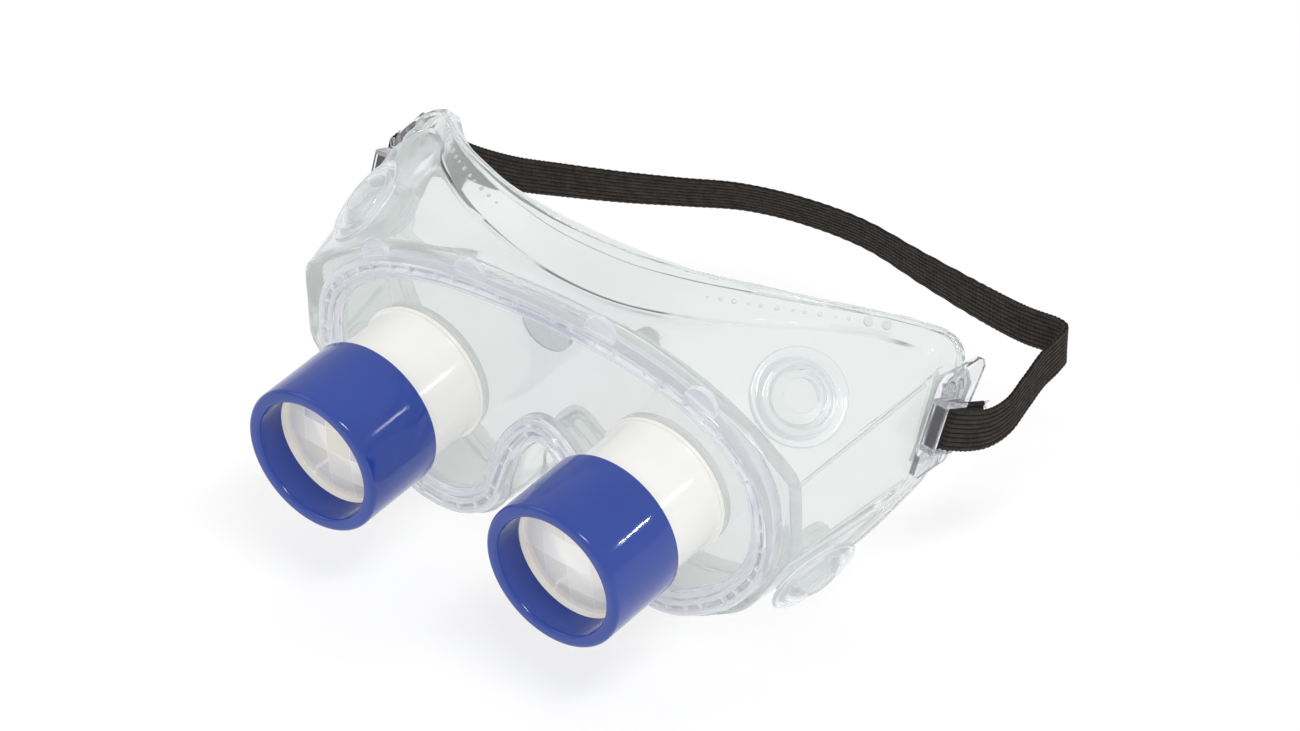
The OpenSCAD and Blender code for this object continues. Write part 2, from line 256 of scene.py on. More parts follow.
# see-through plastic with a faint milky veil; light and shadow pass straight through it; a fold colour, when
# given, is painted along a marked line as painted shade
def clearPlastic(name, tint, edge, milk, veil=0.15, edgeVeil=0.3, ior=1.36, rough=(0.02, 0.07), ripple=0.15,
                 fold=None):
    n = Nodes(name)
    rim = n.ramp(n.add("ShaderNodeLayerWeight", {"Blend": 0.35}).outputs["Facing"], (0.35, 0.0), (0.95, 1.0))
    base = n.ramp(n.noise(60, 4), (0.3, tuple(c * 0.97 for c in tint)), (0.7, tint))
    base = mixColour(n, rim, base, edge)
    cloud = mixColour(n, rim, milk, (0.90, 0.90, 0.96))
    # painted shade: the fold colour is mixed into the tint and the veil along the mesh's marked line attribute,
    # broken into dashes by noise
    if fold:
        line = n.add("ShaderNodeAttribute", attribute_name="paintedShadeLine").outputs["Fac"]
        shadeBreaks = n.ramp(n.noise(26, 3), (0.40, 0.1), (0.5, 1.0))
        line = n.add("ShaderNodeMath", {0: n.ramp(line, (0.45, 0.0), (0.9, 1.0)), 1: shadeBreaks},
                     operation="MULTIPLY").outputs[0]
        base, cloud = mixColour(n, line, base, fold), mixColour(n, line, cloud, fold)
    roughness = n.ramp(n.noise(220, 5), (0.35, rough[0]), (0.75, rough[1]))
    skin = n.bump(n.noise(1400, 2), 0.015, 0.0001, n.bump(n.noise(90, 2), ripple, 0.0004))
    body = n.add("ShaderNodeBsdfPrincipled", {"Base Color": base, "Roughness": roughness, "IOR": ior,
                                              "Transmission Weight": 1.0, "Normal": skin}).outputs[0]
    haze = n.add("ShaderNodeBsdfPrincipled", {"Base Color": cloud, "Roughness": 0.3, "Normal": skin}).outputs[0]
    share = n.add("ShaderNodeMath", {0: rim, 1: edgeVeil, 2: veil}, operation="MULTIPLY_ADD").outputs[0]
    body = n.add("ShaderNodeMixShader", {0: share, 1: body, 2: haze}).outputs[0]
    path = n.add("ShaderNodeLightPath")
    soft = n.add("ShaderNodeMath", {0: path.outputs["Is Shadow Ray"], 1: path.outputs["Is Diffuse Ray"]},
                 operation="MAXIMUM").outputs[0]
    clear = n.add("ShaderNodeBsdfTransparent", {"Color": (0.975, 0.975, 0.975, 1)}).outputs[0]
    return n.show(n.add("ShaderNodeMixShader", {0: soft, 1: body, 2: clear}).outputs[0])


# solid moulded plastic with hairline scratches
def glossPlastic(name, dark, light, rough=(0.12, 0.22), peel=0.05, coat=0.5):
    n = Nodes(name)
    base = n.ramp(n.noise(45, 4), (0.3, dark), (0.7, light))
    roughness = n.ramp(n.noise(260, 6), (0.3, rough[0]), (0.8, rough[1]))
    skin = n.bump(n.noise(420, 3), peel, 0.0002)
    hairs = n.ramp(n.noise(300, 2, (1, 0.05, 1)), (0.46, 0.0), (0.5, 1.0), (0.54, 0.0))
    scratches = n.bump(hairs, 0.03, 0.0001, skin)
    return n.show(n.add("ShaderNodeBsdfPrincipled", {
        "Base Color": base, "Roughness": roughness, "IOR": 1.5, "Coat Weight": coat, "Coat Roughness": 0.04,
        "Normal": scratches}).outputs[0])


# milky plastic with painted light and shade: its flats differ in tone, bright ridges are a painted highlight,
# and a faint warm glow is painted over it
def facetPlastic(name):
    n = Nodes(name)
    cell = n.add("ShaderNodeAttribute", attribute_name="facetLightAndShade").outputs["Fac"]
    base = n.ramp(cell, (0.0, (0.52, 0.50, 0.62)), (0.06, (0.58, 0.56, 0.64)), (0.07, (0.74, 0.715, 0.63)),
                  (0.9, (0.95, 0.93, 0.86)), (1.0, (1.0, 1.0, 0.96)))
    base = mixColour(n, n.ramp(n.noise(110, 4), (0.35, 0.25), (0.65, 0.0)), base, (0.84, 0.81, 0.77))
    skin = n.bump(n.noise(260, 2), 0.08, 0.0003)
    # painted light: the faint warm emission makes the lens glow though it is no lamp
    return n.show(n.add("ShaderNodeBsdfPrincipled", {
        "Base Color": base, "Roughness": n.ramp(n.noise(300, 4), (0.3, 0.08), (0.7, 0.2)), "IOR": 1.49,
        "Transmission Weight": 0.06, "Normal": skin, "Coat Weight": 0.5, "Coat Roughness": 0.03,
        "Emission Color": (1.0, 0.975, 0.90, 1), "Emission Strength": 0.11}).outputs[0])


# knitted elastic, with painted shade darkening the grooves between its ribs
def elasticCloth(name):
    n = Nodes(name)
    crown = n.add("ShaderNodeAttribute", attribute_name="ribHeight").outputs["Fac"]
    weave = n.add("ShaderNodeTexWave", {"Vector": n.place, "Scale": 260, "Distortion": 3, "Detail": 2},
                  bands_direction="X").outputs["Fac"]
    fuzz = n.noise(1500, 4)
    base = n.ramp(n.noise(500, 5), (0.3, (0.020, 0.017, 0.015)), (0.75, (0.048, 0.041, 0.035)))
    # painted shade: the grooves are painted near black and the rib crowns keep the cloth colour
    base = mixColour(n, n.ramp(crown, (0.1, 0.0), (0.75, 1.0)), (0.004, 0.0035, 0.003), base)
    knit = n.bump(weave, 0.35, 0.0002, n.bump(fuzz, 0.6, 0.0002))
    return n.show(n.add("ShaderNodeBsdfPrincipled", {
        "Base Color": base, "Roughness": n.ramp(fuzz, (0.3, 0.75), (0.7, 0.95)), "Sheen Weight": 0.08,
        "Sheen Roughness": 0.5, "Specular IOR Level": 0.2, "Normal": knit}).outputs[0])


# the soft vinyl's fold colour is the painted shade along the brow fold
vinyl = clearPlastic("clearSoftVinyl", (0.925, 0.94, 0.935), (0.965, 0.965, 0.985), (0.68, 0.72, 0.70),
                     ior=1.29, ripple=0.25, veil=0.25, fold=(0.10, 0.11, 0.11))
# the rigid frame's fold colour is the painted shade on the floors of its cells
rigidClear = clearPlastic("clearRigidPlastic", (0.955, 0.955, 0.975), (0.94, 0.94, 0.98), (0.80, 0.805, 0.85),
                          veil=0.26, ior=1.32, fold=(0.46, 0.46, 0.54))
nutClear = clearPlastic("clearNutPlastic", (0.97, 0.975, 0.98), (0.95, 0.955, 0.965), (0.86, 0.87, 0.88),
                        veil=0.32, ior=1.12, ripple=0.05)
clipClear = clearPlastic("clearClipPlastic", (0.95, 0.95, 0.975), (0.93, 0.93, 0.98), (0.88, 0.88, 0.94),
                         ior=1.42, ripple=0.05, veil=0.04, edgeVeil=0.15)
plateClear = clearPlastic("clearLensPlastic", (0.84, 0.86, 0.855), (0.84, 0.86, 0.87), (0.66, 0.69, 0.68),
                          ior=1.4, ripple=0.05, veil=0.15)
ventClear = clearPlastic("clearVentPlastic", (0.94, 0.955, 0.96), (0.92, 0.93, 0.96), (0.86, 0.88, 0.89),
                         ripple=0.1, veil=0.14)
whitePlastic = glossPlastic("whiteTubePlastic", (0.86, 0.855, 0.82), (0.90, 0.895, 0.865), coat=0.2)
bluePlastic = glossPlastic("blueSleevePlastic", (0.018, 0.050, 0.285), (0.023, 0.058, 0.32),
                           rough=(0.06, 0.11), coat=0.0)
frostedFacets = facetPlastic("facetedLensPlastic")
elastic = elasticCloth("ribbedElastic")
print("materials made")

# the face shell: the same stations on four edges, from the top middle round to the nose
shell = {
    "wall": 1.8, "lipWall": 3.0, "seatDepth": 3.7, "seatLedge": 2.6, "steps": 12, "beadHeight": 0.9,
    # the rows of the painted shade along the brow fold, and the rows and x span of the painted dark reflection
    # near its corners
    "foldRows": (11, 12), "paintedReflectionRows": (13, 14), "wedge": (60, 70), "foldAbove": 24, "foldFade": 3,
    "rim": [(0, 39.2), (11, 38.9), (21, 38.2), (31, 36.8), (40, 34.6), (49, 31.4), (56, 27.4), (62, 22.2),
            (66.8, 16.4), (69.6, 9.4), (70.6, 1), (70, -7.4), (66.6, -17), (59, -27.2), (50, -34.4),
            (40, -39.4), (30, -40), (21, -36.4), (15, -30), (12.4, -22.6), (8.8, -13.8), (4, -6.8), (0, -4.2)],
    "front": [(0, 40.4), (11, 40.1), (21.4, 39.4), (31.6, 38), (41, 35.8), (50.2, 32.6), (58, 28.8),
              (65.4, 24.2), (72.8, 18.6), (75.6, 14.6), (75.8, 4.6), (75.6, -5.4), (72.6, -11), (61.6, -28),
              (51, -35.6), (40.6, -40.6), (29.4, -41.2), (20, -37.2), (13.8, -30.2), (11.4, -22), (7.9, -13.2),
              (3.6, -7.6), (0, -5.4)],
    "crease": [(0, 18, 31), (11, 18.2, 31.6), (21, 19, 33.2), (31, 20.4, 35.2), (40.6, 22.7, 36.8),
               (50.4, 28.6, 36.4), (59, 35.4, 34.8), (68.4, 46.6, 29.6), (78.4, 53.8, 24.2), (83.4, 48.6, 22.8),
               (83.2, 44, 10.6), (82.6, 39.4, -2), (78, 33, -10.4), (64, 27.4, -29), (51.6, 24.4, -38),
               (40, 22, -43), (28.6, 19.4, -42.6), (19.6, 16.8, -38), (13.6, 14.8, -30.6), (11.2, 13.4, -22.4),
               (7.7, 12, -13.6), (3.4, 11, -8), (0, 10.8, -5.8)],
    "lip": [(0, 24.5, 43.2), (11, 24.9, 43.2), (21, 26.5, 43), (31, 29, 42.6), (41, 33, 41.6),
            (51.6, 38.4, 39.6), (61, 44.9, 36.8), (70.6, 52.8, 32.6), (78.6, 61, 26.4), (84.6, 58.6, 22.4),
            (84.4, 53, 10.6), (83.4, 47.2, -2), (80, 41, -10), (66, 35.6, -30), (53, 31.6, -40.4),
            (40.6, 28.6, -46.4), (28, 25.4, -46), (18.6, 22, -40.4), (12.8, 19.6, -31.6), (10.6, 18.2, -22.8),
            (7.3, 16.8, -14), (3.2, 15.8, -8.4), (0, 15.6, -6.2)],
}
edges = {k: closedCurve(bothSides([Vector(p) for p in shell[k]]), shell["steps"])
         for k in ("rim", "front", "crease", "lip")}
rimEdge = edges["rim"]


def rowNormals(rows):
    m, n = len(rows), len(rows[0])
    out = []
    for i in range(m):
        before, after = rows[max(i - 1, 0)], rows[min(i + 1, m - 1)]
        out.append([(rows[i][(j + 1) % n] - rows[i][j - 1]).cross(after[j] - before[j]).normalized()
                    for j in range(n)])
    return out


def shellRows():
    front, crease, lip = edges["front"], edges["crease"], edges["lip"]
    back = atDepth(front, 1.6)
    bead = shell["beadHeight"]
    plain = [(atDepth(grown(rimEdge, -shell["seatLedge"]), shell["seatDepth"]), 0, None),
             (atDepth(grown(rimEdge, 0.5), shell["seatDepth"]), 0, None),
             (atDepth(grown(front, -0.5), 0.9), 0, None),
             (atDepth(grown(front, -0.15), 0.7), 0, None),
             (atDepth(front, 1.0), 0, None)]
    # the wall back to the crease, then the flange out to the lip: [how far, lift off the plain surface]
    wall = ((0.04, 0), (0.3, 0), (0.6, 0), (0.86, 0), (0.925, 0.15), (0.955, -0.25), (0.985, -0.55))
    flange = ((0.01, -0.45), (0.05, -0.1), (0.12, 0.1), (0.4, 0), (0.68, 0), (0.745, 0), (0.765, bead * 0.8),
              (0.80, bead), (0.835, bead * 0.75), (0.86, 0.1), (0.93, 0.15), (0.975, 0.55), (1.0, 0.2))
    for a, b, stages in ((back, crease, wall), (crease, lip, flange)):
        for t, lift in stages:
            part = "lip" if stages is flange and t > 0.95 else "wall"
            plain.append(([p.lerp(q, t) for p, q in zip(a, b)], lift, part))
    rows = [r for r, _, _ in plain]
    normals = rowNormals(rows)
    outer = [[p + lift * q for p, q in zip(row, normals[i])] for i, (row, lift, _) in enumerate(plain)]
    seatBack = shell["seatDepth"] + shell["wall"]
    inner = [atDepth(grown(rimEdge, -shell["seatLedge"]), seatBack),
             atDepth(grown(rimEdge, 1 - shell["seatLedge"]), seatBack + 0.1),
             atDepth(grown(front, -shell["wall"] - 0.2), seatBack + 0.4)]
    for i in range(6, len(plain)):
        wall = shell["lipWall"] if plain[i][2] == "lip" else shell["wall"]
        inner.append([p - wall * q for p, q in zip(rows[i], normals[i])])
    return outer, inner


def makeShell():
    outer, inner = shellRows()
    verts, faces = loft(outer + inner[::-1], True, True)
    piece = makePiece("faceShell", verts, faces, vinyl, "mask", ["face_shell"],
                      smooth=50, weld=False)
    # painted shade: a dark line is painted along the fold over the brow, widened near its corners by a painted
    # dark reflection
    lines = piece.data.attributes.new("paintedShadeLine", "FLOAT", "POINT")
    n = len(outer[0])
    for row in shell["foldRows"] + shell["paintedReflectionRows"]:
        for j in range(n):
            p = outer[row][j]
            near = min(max((p.z - shell["foldAbove"]) / shell["foldFade"], 0), 1)
            inPaintedReflection = shell["wedge"][0] < abs(p.x) < shell["wedge"][1]
            lines.data[row * n + j].value = near if row in shell["foldRows"] or inPaintedReflection else 0
    return piece, outer


faceShell, outerRows = makeShell()
print("face shell made:", len(faceShell.data.vertices), "points")

# thin ribs on the side walls, each from the front edge back to the crease
wallRibs = {"stations": (9, 11, 12), "radius": 0.55, "rows": (5, 10), "lift": -0.1, "sides": 10}


def makeWallRibs():
    r, sides = wallRibs["radius"], wallRibs["sides"]
    parts = []
    for side in (1, -1):
        for station in wallRibs["stations"]:
            line = openCurve([outerRows[i][station * shell["steps"]] for i in range(*wallRibs["rows"])], 4)
            rows = []
            for k, p in enumerate(line):
                ahead = (line[min(k + 1, len(line) - 1)] - line[max(k - 1, 0)]).normalized()
                out = ahead.cross(Vector((0, 0, 1))).normalized()
                up = out.cross(ahead)
                ring = [p + out * (r * math.cos(a) + wallRibs["lift"]) + up * r * math.sin(a)
                        for a in (2 * math.pi * q / sides for q in range(sides))]
                rows.append([Vector((side * v.x, v.y, v.z)) for v in ring])
            parts.append(capped(rows))
    verts, faces = joined(parts)
    makePiece("wallRibs", verts, faces, vinyl, "mask", smooth=60)


makeWallRibs()

# small round bubbles moulded in a row along the brow flange, two larger ones at its corner
dots = {"stations": (3.2, 6.9), "count": 13, "large": 2, "smallRadius": 0.55, "largeRadius": 1.25,
        "rows": (15, 16), "across": 0.35, "rise": 0.45, "sides": 14}


def makeDots():
    near, far = (outerRows[i] for i in dots["rows"])
    first, last = dots["stations"]
    rise, sides = dots["rise"], dots["sides"]
    parts = []
    for k in range(dots["count"]):
        j = round((first + (last - first) * k / (dots["count"] - 1)) * shell["steps"])
        p = near[j].lerp(far[j], dots["across"])
        along = (near[j + 1] - near[j - 1]).normalized()
        out = along.cross(far[j] - near[j]).normalized()
        side = out.cross(along)
        r = dots["smallRadius"] * (0.8 + 0.2 * (k % 3))
        if k >= dots["count"] - dots["large"]:
            r = dots["largeRadius"]
        rows = [[p + out * lift * r + (along * math.cos(a) + side * math.sin(a)) * r * wide
                 for a in (2 * math.pi * q / sides for q in range(sides))]
                for lift, wide in ((-0.3, 1), (0, 1), (rise * 0.6, 0.85), (rise, 0.45))]
        for mirror in (1, -1):
            parts.append(capped([[Vector((mirror * v.x, v.y, v.z)) for v in row] for row in rows]))
    verts, faces = joined(parts)
    makePiece("flangeBubbles", verts, faces, vinyl, "mask", smooth=60)


makeDots()

# the soft tongue that hangs behind the plate at the top middle
tongue = {"top": 38, "halfWidth": 10.5, "endHeight": 29, "endHalf": 7.6, "endDrop": 7, "depth": (3.9, 5.5)}


def makeTongue():
    outline = [(tongue["halfWidth"], tongue["top"]), (-tongue["halfWidth"], tongue["top"])]
    for k in range(25):
        a = math.radians(-180 + 7.5 * k)
        outline.append((tongue["endHalf"] * math.cos(a), tongue["endHeight"] + tongue["endDrop"] * math.sin(a)))
    verts, faces = slab(outline, *tongue["depth"])
    makePiece("browTongue", verts, faces, vinyl, "mask", smooth=40, bevel=0.5, segments=3)


makeTongue()

# the rigid frame: two rails with a row of small cells between them
lensFrame = {"count": 860, "front": -2.2, "cellDepth": 1.5, "shallow": 0.35, "ribWidth": 1.1, "cellPaintedShade": 0.8,
             "cells": (5.2, 3.6, 6.4, 4.4, 7.6, 4.0, 5.6)}


def frameProfile(deep):
    f = lensFrame["front"]
    floor = f + (lensFrame["cellDepth"] if deep else lensFrame["shallow"])
    return [(0.0, 3.6), (-0.05, 1.0), (0.0, -1.2), (0.25, -1.8), (0.7, f), (1.5, f), (1.75, f + 0.25),
            (1.8, floor), (3.3, floor), (3.35, f + 0.25), (3.6, f), (4.4, f), (4.7, f + 0.2), (5.0, f + 0.85),
            (6.1, f + 1.1), (6.5, f + 1.5), (6.5, -0.1), (2.95, -0.1), (2.95, 2.1), (6.4, 2.1), (6.5, 2.5),
            (6.3, 3.4), (5.9, 3.6)]


def makeLensFrame():
    loop, length = evenly(rimEdge, lensFrame["count"])
    step = length / lensFrame["count"]
    deepAt, left, k, deep = [], lensFrame["cells"][0], 0, True
    for _ in loop:
        deepAt.append(deep)
        left -= step
        if left <= 0:
            deep = not deep
            k += deep
            left = lensFrame["cells"][k % len(lensFrame["cells"])] if deep else lensFrame["ribWidth"]
    profiles = [frameProfile(d) for d in deepAt]
    outward = [outwardAt(loop, i) for i in range(len(loop))]
    rows = []
    for q in range(len(profiles[0])):
        rows.append([Vector((p.x, prof[q][1], p.y)) - prof[q][0] * Vector((o.x, 0, o.y))
                     for p, o, prof in zip(loop, outward, profiles)])
    verts, faces = loft(rows, True, True)
    piece = makePiece("lensFrame", verts, faces, rigidClear, "mask", ["lens_frame"],
                      smooth=28, weld=False)
    # painted shade: the floors of the cells are painted a little darker
    lines = piece.data.attributes.new("paintedShadeLine", "FLOAT", "POINT")
    for q, (_, depth) in enumerate(frameProfile(True)):
        if depth == lensFrame["front"] + lensFrame["cellDepth"]:
            for i, inCell in enumerate(deepAt):
                lines.data[q * len(loop) + i].value = lensFrame["cellPaintedShade"] if inCell else 0


makeLensFrame()

# half-round lugs round the outside of the frame
lugs = {"along": (20.5, 50), "width": 4.6, "reach": 4.68, "depth": (-1.3, 0.4)}


def makeLugs():
    parts = []
    for side in (-1, 1):
        for x in lugs["along"]:
            upper = [k for k in range(len(rimEdge)) if rimEdge[k].y > 5]
            i = min(upper, key=lambda k: (rimEdge[k].x - side * x) ** 2)
            out = outwardAt(rimEdge, i)
            flat = Vector((out.y, -out.x)) * lugs["width"]
            outline = [rimEdge[i] - out + flat * c for c in (1, -1)]
            for degrees in range(180, -1, -12):
                a = math.radians(degrees)
                outline.append(rimEdge[i] + flat * math.cos(a) + out * lugs["reach"] * math.sin(a))
            parts.append(slab([(p.x, p.y) for p in outline], *lugs["depth"]))
    verts, faces = joined(parts)
    makePiece("frameLugs", verts, faces, rigidClear, "mask", smooth=40, bevel=0.3)


makeLugs()

# tubes, sleeves and lenses, turned round the eyepiece axes
eyepiece = {"apart": 74.8, "tubeRadius": 17.8, "tubeBore": 15.0, "tubeEnd": 30.0, "footRadius": 18.8,
            "foot": 1.1, "sleeveRadius": 20.0, "sleeveBack": 19.7, "sleeveFront": 43.9, "seatRadius": 16.5,
            "seatLength": 8.5, "runGap": 0.06, "round": 1.3, "spigot": (16.3, -3.4), "steps": 128}


def arc(cr, cz, r, a0, a1, count=5):
    return [(cr + r * math.cos(math.radians(a0 + (a1 - a0) * k / count)),
             cz + r * math.sin(math.radians(a0 + (a1 - a0) * k / count))) for k in range(count + 1)]


def makeTube(side, word):
    e = eyepiece
    foot, r, bore, end = e["footRadius"], e["tubeRadius"], e["tubeBore"], e["tubeEnd"]
    spigotRadius, spigotEnd = e["spigot"]
    profile = [(spigotRadius, spigotEnd), (spigotRadius, 0.1), (foot - 0.2, 0.1)]
    profile += arc(foot - 0.4, e["foot"] - 0.4, 0.4, 0, 90)
    profile += arc(r + 0.5, e["foot"] + 0.5, 0.5, 270, 180)
    profile += [(r, 10), (r, 20)]
    profile += arc(r - 0.4, end - 0.4, 0.4, 0, 90) + [(bore + 0.3, end)]
    profile += [(bore, end - 0.3), (bore, 10), (bore, spigotEnd + 0.3), (bore + 0.3, spigotEnd)]
    verts, faces = lathe(profile, e["steps"])
    verts = aimed(verts, (side * e["apart"] / 2, 0, 0), (0, -1, 0))
    makePiece(word + "Tube", verts, faces, whitePlastic, "mask", [word + "_collar"], smooth=35)


def makeSleeve(side, word):
    e = eyepiece
    bore = e["tubeRadius"] + e["runGap"]
    front, back, r = e["sleeveFront"], e["sleeveBack"], e["sleeveRadius"]
    seat, seatBack = e["seatRadius"], front - e["seatLength"]
    profile = [(bore + 0.3, back), (bore, back + 0.3), (bore, seatBack)]
    profile += [(seat, seatBack), (seat, front - 4), (seat, front - 0.9)]
    profile += arc(seat + 0.9, front - 0.9, 0.9, 180, 90)
    profile += arc(r - e["round"], front - e["round"], e["round"], 90, 0, 7)
    profile += [(r, front - 8), (r, back + 6)] + arc(r - 0.5, back + 0.5, 0.5, 0, -90)
    verts, faces = lathe(profile, e["steps"])
    verts = aimed(verts, (side * e["apart"] / 2, 0, 0), (0, -1, 0))
    makePiece(word + "Sleeve", verts, faces, bluePlastic, word + "_eyepiece",
              [word + "_sleeve"], smooth=35)


# the domed disc: square flats that touch a shallow dome, cut as a grid [offset, pitch]
facets = {"pitch": 7.2, "offset": (1.6, 0.9), "reach": range(-4, 5), "radius": 16.4, "rim": 17.68, "base": 1.2,
          "dome": 1.55, "thick": 2.78, "ridge": 0.14, "gap": 0.02, "rimTone": 0.6, "steps": 96}


def makeFacetedLens(side, word):
    f = facets
    curve = f["radius"] ** 2 / (2 * f["dome"])
    centres = [(f["offset"][0] + f["pitch"] * i, f["offset"][1] + f["pitch"] * k)
               for i in f["reach"] for k in f["reach"]]

    def height(x, y):
        return min(f["base"] + f["dome"] + (cx * cx + cy * cy) / (2 * curve) - (cx * x + cy * y) / curve
                   for cx, cy in centres)

    def cell(c):
        return tuple(round((c[k] - f["offset"][k]) / f["pitch"]) for k in (0, 1))

    bm = bmesh.new()
    turns = [2 * math.pi * k / f["steps"] for k in range(f["steps"])]
    bm.faces.new([bm.verts.new((f["radius"] * math.cos(a), f["radius"] * math.sin(a), 0)) for a in turns])
    for i in f["reach"]:
        for axis in (0, 1):
            at = f["offset"][axis] + f["pitch"] * (i + 0.5)
            if abs(at) < f["radius"]:
                co, no = [0, 0, 0], [0, 0, 0]
                co[axis], no[axis] = at, 1
                bmesh.ops.bisect_plane(bm, geom=bm.verts[:] + bm.edges[:] + bm.faces[:], plane_co=co,
                                       plane_no=no)
    # painted light and shade: each flat gets its own random lighter or darker tone
    facetLight = {}
    for face in bm.faces:
        key = cell(face.calc_center_median())
        facetLight[key] = facetLight.get(key, random.random())
    for v in bm.verts:
        v.co.z = height(v.co.x, v.co.y)
    # the raised edge that seats in the sleeve, the flat back and the side
    outline = [e for e in bm.edges if e.is_boundary]
    for radius, z in ((f["radius"] + 0.12, f["thick"] - 0.1), (f["radius"] + 0.25, f["thick"]),
                      (f["rim"] - 0.2, f["thick"]), (f["rim"], f["thick"] - 0.2), (f["rim"], 0.2),
                      (f["rim"] - 0.2, 0)):
        grow = bmesh.ops.extrude_edge_only(bm, edges=outline)["geom"]
        for v in [g for g in grow if isinstance(g, bmesh.types.BMVert)]:
            flat = Vector((v.co.x, v.co.y)).normalized() * radius
            v.co = (flat.x, flat.y, z)
        outline = [g for g in grow if isinstance(g, bmesh.types.BMEdge)]
    bmesh.ops.contextual_create(bm, geom=outline)
    bmesh.ops.recalc_face_normals(bm, faces=bm.faces)
    place = Vector((side * eyepiece["apart"] / 2, 0, 0))
    lift = eyepiece["sleeveFront"] - eyepiece["seatLength"] - f["thick"] - f["gap"]
    # painted highlight: the thin ridges between the flats get the brightest tone
    tops = [face for face in bm.faces if face.normal.z > 0.5 and face.calc_center_median().length < f["radius"]]
    ridges = set(bmesh.ops.inset_individual(bm, faces=tops, thickness=f["ridge"])["faces"])
    shades = []
    for face in bm.faces:
        c = face.calc_center_median()
        onTop = face.normal.z > 0.5 and c.length < f["radius"]
        tone = facetLight.get(cell(c), f["rimTone"]) if onTop else f["rimTone"]
        shades.append(1.0 if face in ridges else tone)
    turn = Vector((0, -1, 0)).to_track_quat("Z", "Y").to_matrix()
    for v in bm.verts:
        v.co = (turn @ (v.co + Vector((0, 0, lift))) + place) * mm
    mesh = bpy.data.meshes.new(word + "FacetedLens")
    bm.to_mesh(mesh)
    bm.free()
    tone = mesh.attributes.new("facetLightAndShade", "FLOAT", "FACE")
    for k, value in enumerate(shades):
        tone.data[k].value = value
    mesh.materials.append(frostedFacets)
    obj = bpy.data.objects.new(word + "FacetedLens", mesh)
    bpy.context.scene.collection.objects.link(obj)
    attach(obj, word + "_eyepiece")
    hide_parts(word + "_faceted_lens")


for side, word in ((-1, "left"), (1, "right")):
    makeTube(side, word)
    makeSleeve(side, word)
    makeFacetedLens(side, word)
print("eyepieces made")

# the vents: a cap on a stem, in a boss moulded on the shell; each is placed by [middle, axis]
vents = {"radius": 12.35, "dome": 7.5, "domeHeight": 2.6, "standOff": 3.3, "thick": 1.3, "stem": 6.0,
         "stemEnd": -6.8, "bossOut": 9.3, "bossBore": 6.1, "bossFrom": -4.8, "bossTo": 3.2, "steps": 72,
         "top": ((64.8, 17.2, 27.4), (0.6, -0.38, 0.7)), "bottom": ((66.6, 17, -22.4), (0.88, -0.22, -0.42))}


def makeVent(side, word, level):
    v = vents
    at, axis = v[level]
    at, axis = (side * at[0], at[1], at[2]), (side * axis[0], axis[1], axis[2])
    z, top = v["standOff"], v["standOff"] + v["thick"]
    stem, stemEnd, r, dome = v["stem"], v["stemEnd"], v["radius"], v["dome"]
    profile = [(0.01, stemEnd), (stem - 0.3, stemEnd), (stem, stemEnd + 0.3), (stem, z - 0.4), (stem + 0.4, z)]
    profile += [(r - 0.5, z)] + arc(r - 0.5, z + 0.5, 0.5, -90, 90)
    profile += [(r - 1.2, z + 1.0), (r - 1.5, z + 0.75), (dome + 2.6, z + 0.8), (dome + 2.0, top)]
    profile += [(dome + 1.3, top + 0.3), (dome + 0.6, top + 0.1), (dome + 0.3, top - 0.3)]
    profile += [(dome * math.cos(math.radians(a)), top - 0.2 + v["domeHeight"] * math.sin(math.radians(a)))
                for a in (0, 12, 24, 36, 48)]
    profile += [(dome * 0.60, top + 2.05), (dome * 0.57, top + 1.75), (dome * 0.4, top + 1.8)]
    profile += [(0.01, top + 1.9)]
    verts, faces = lathe(profile, v["steps"])
    makePiece(f"{level}{word.title()}VentCap", aimed(verts, at, axis), faces, ventClear, "mask",
              [f"{level}_{word}_vent_cap"], smooth=40)
    bore, out, low, high = v["bossBore"], v["bossOut"], v["bossFrom"], v["bossTo"]
    ring = [(bore, low), (bore, high), (out - 0.4, high), (out, high - 0.4), (out, low + 0.4), (out - 0.4, low)]
    verts, faces = lathe(ring, v["steps"])
    makePiece(f"{level}{word.title()}VentBoss", aimed(verts, at, axis), faces, vinyl, "mask",
              smooth=40)


for side, word in ((-1, "left"), (1, "right")):
    for level in ("top", "bottom"):
        makeVent(side, word, level)
print("vents made")

# the clips at the temples, drawn on the right and mirrored on the left
clip = {"at": (83.6, 42, 0), "flare": 6, "lean": 27, "box": (0, -2.6, 7.2), "plate": 1.7, "out": 5.4,
        "slot": 11, "arm": 1.2, "reach": 8.6, "wall": 1.5, "bar": (4.4, 5.4), "barRadius": 0.8, "barClear": 0.35,
        "peg": (8.6, 10.5), "pegRadius": 2, "foot": (4.9, 0.4), "footRadius": 1.5,
        "outline": [(-4.6, 0.2), (-3, -1.8), (6.6, -1.8), (8.4, -0.4), (21.6, 18.4), (21.4, 20.6), (19.6, 21.8),
                    (8.6, 22.4), (6.4, 21)],
        "block": [(-2.4, 1.4), (7.6, 0.4), (17.4, 15.4), (16.6, 19.4), (8, 20.4)], "blockThick": 3}


def templePoint(x, y, z):
    s, c = math.sin(math.radians(clip["flare"])), math.cos(math.radians(clip["flare"]))
    return Vector(clip["at"]) + Vector((x * c + y * s, y * c - x * s, z))


def boxPoint(x, y, z):
    s, c = math.sin(math.radians(clip["lean"])), math.cos(math.radians(clip["lean"]))
    return templePoint(x, y * c + z * s + clip["box"][1], z * c - y * s + clip["box"][2])


def brick(lo, hi, place):
    verts = [place(x, y, z) for x in (lo[0], hi[0]) for y in (lo[1], hi[1]) for z in (lo[2], hi[2])]
    return verts, [(0, 1, 3, 2), (4, 6, 7, 5), (0, 4, 5, 1), (2, 3, 7, 6), (0, 2, 6, 4), (1, 5, 7, 3)]


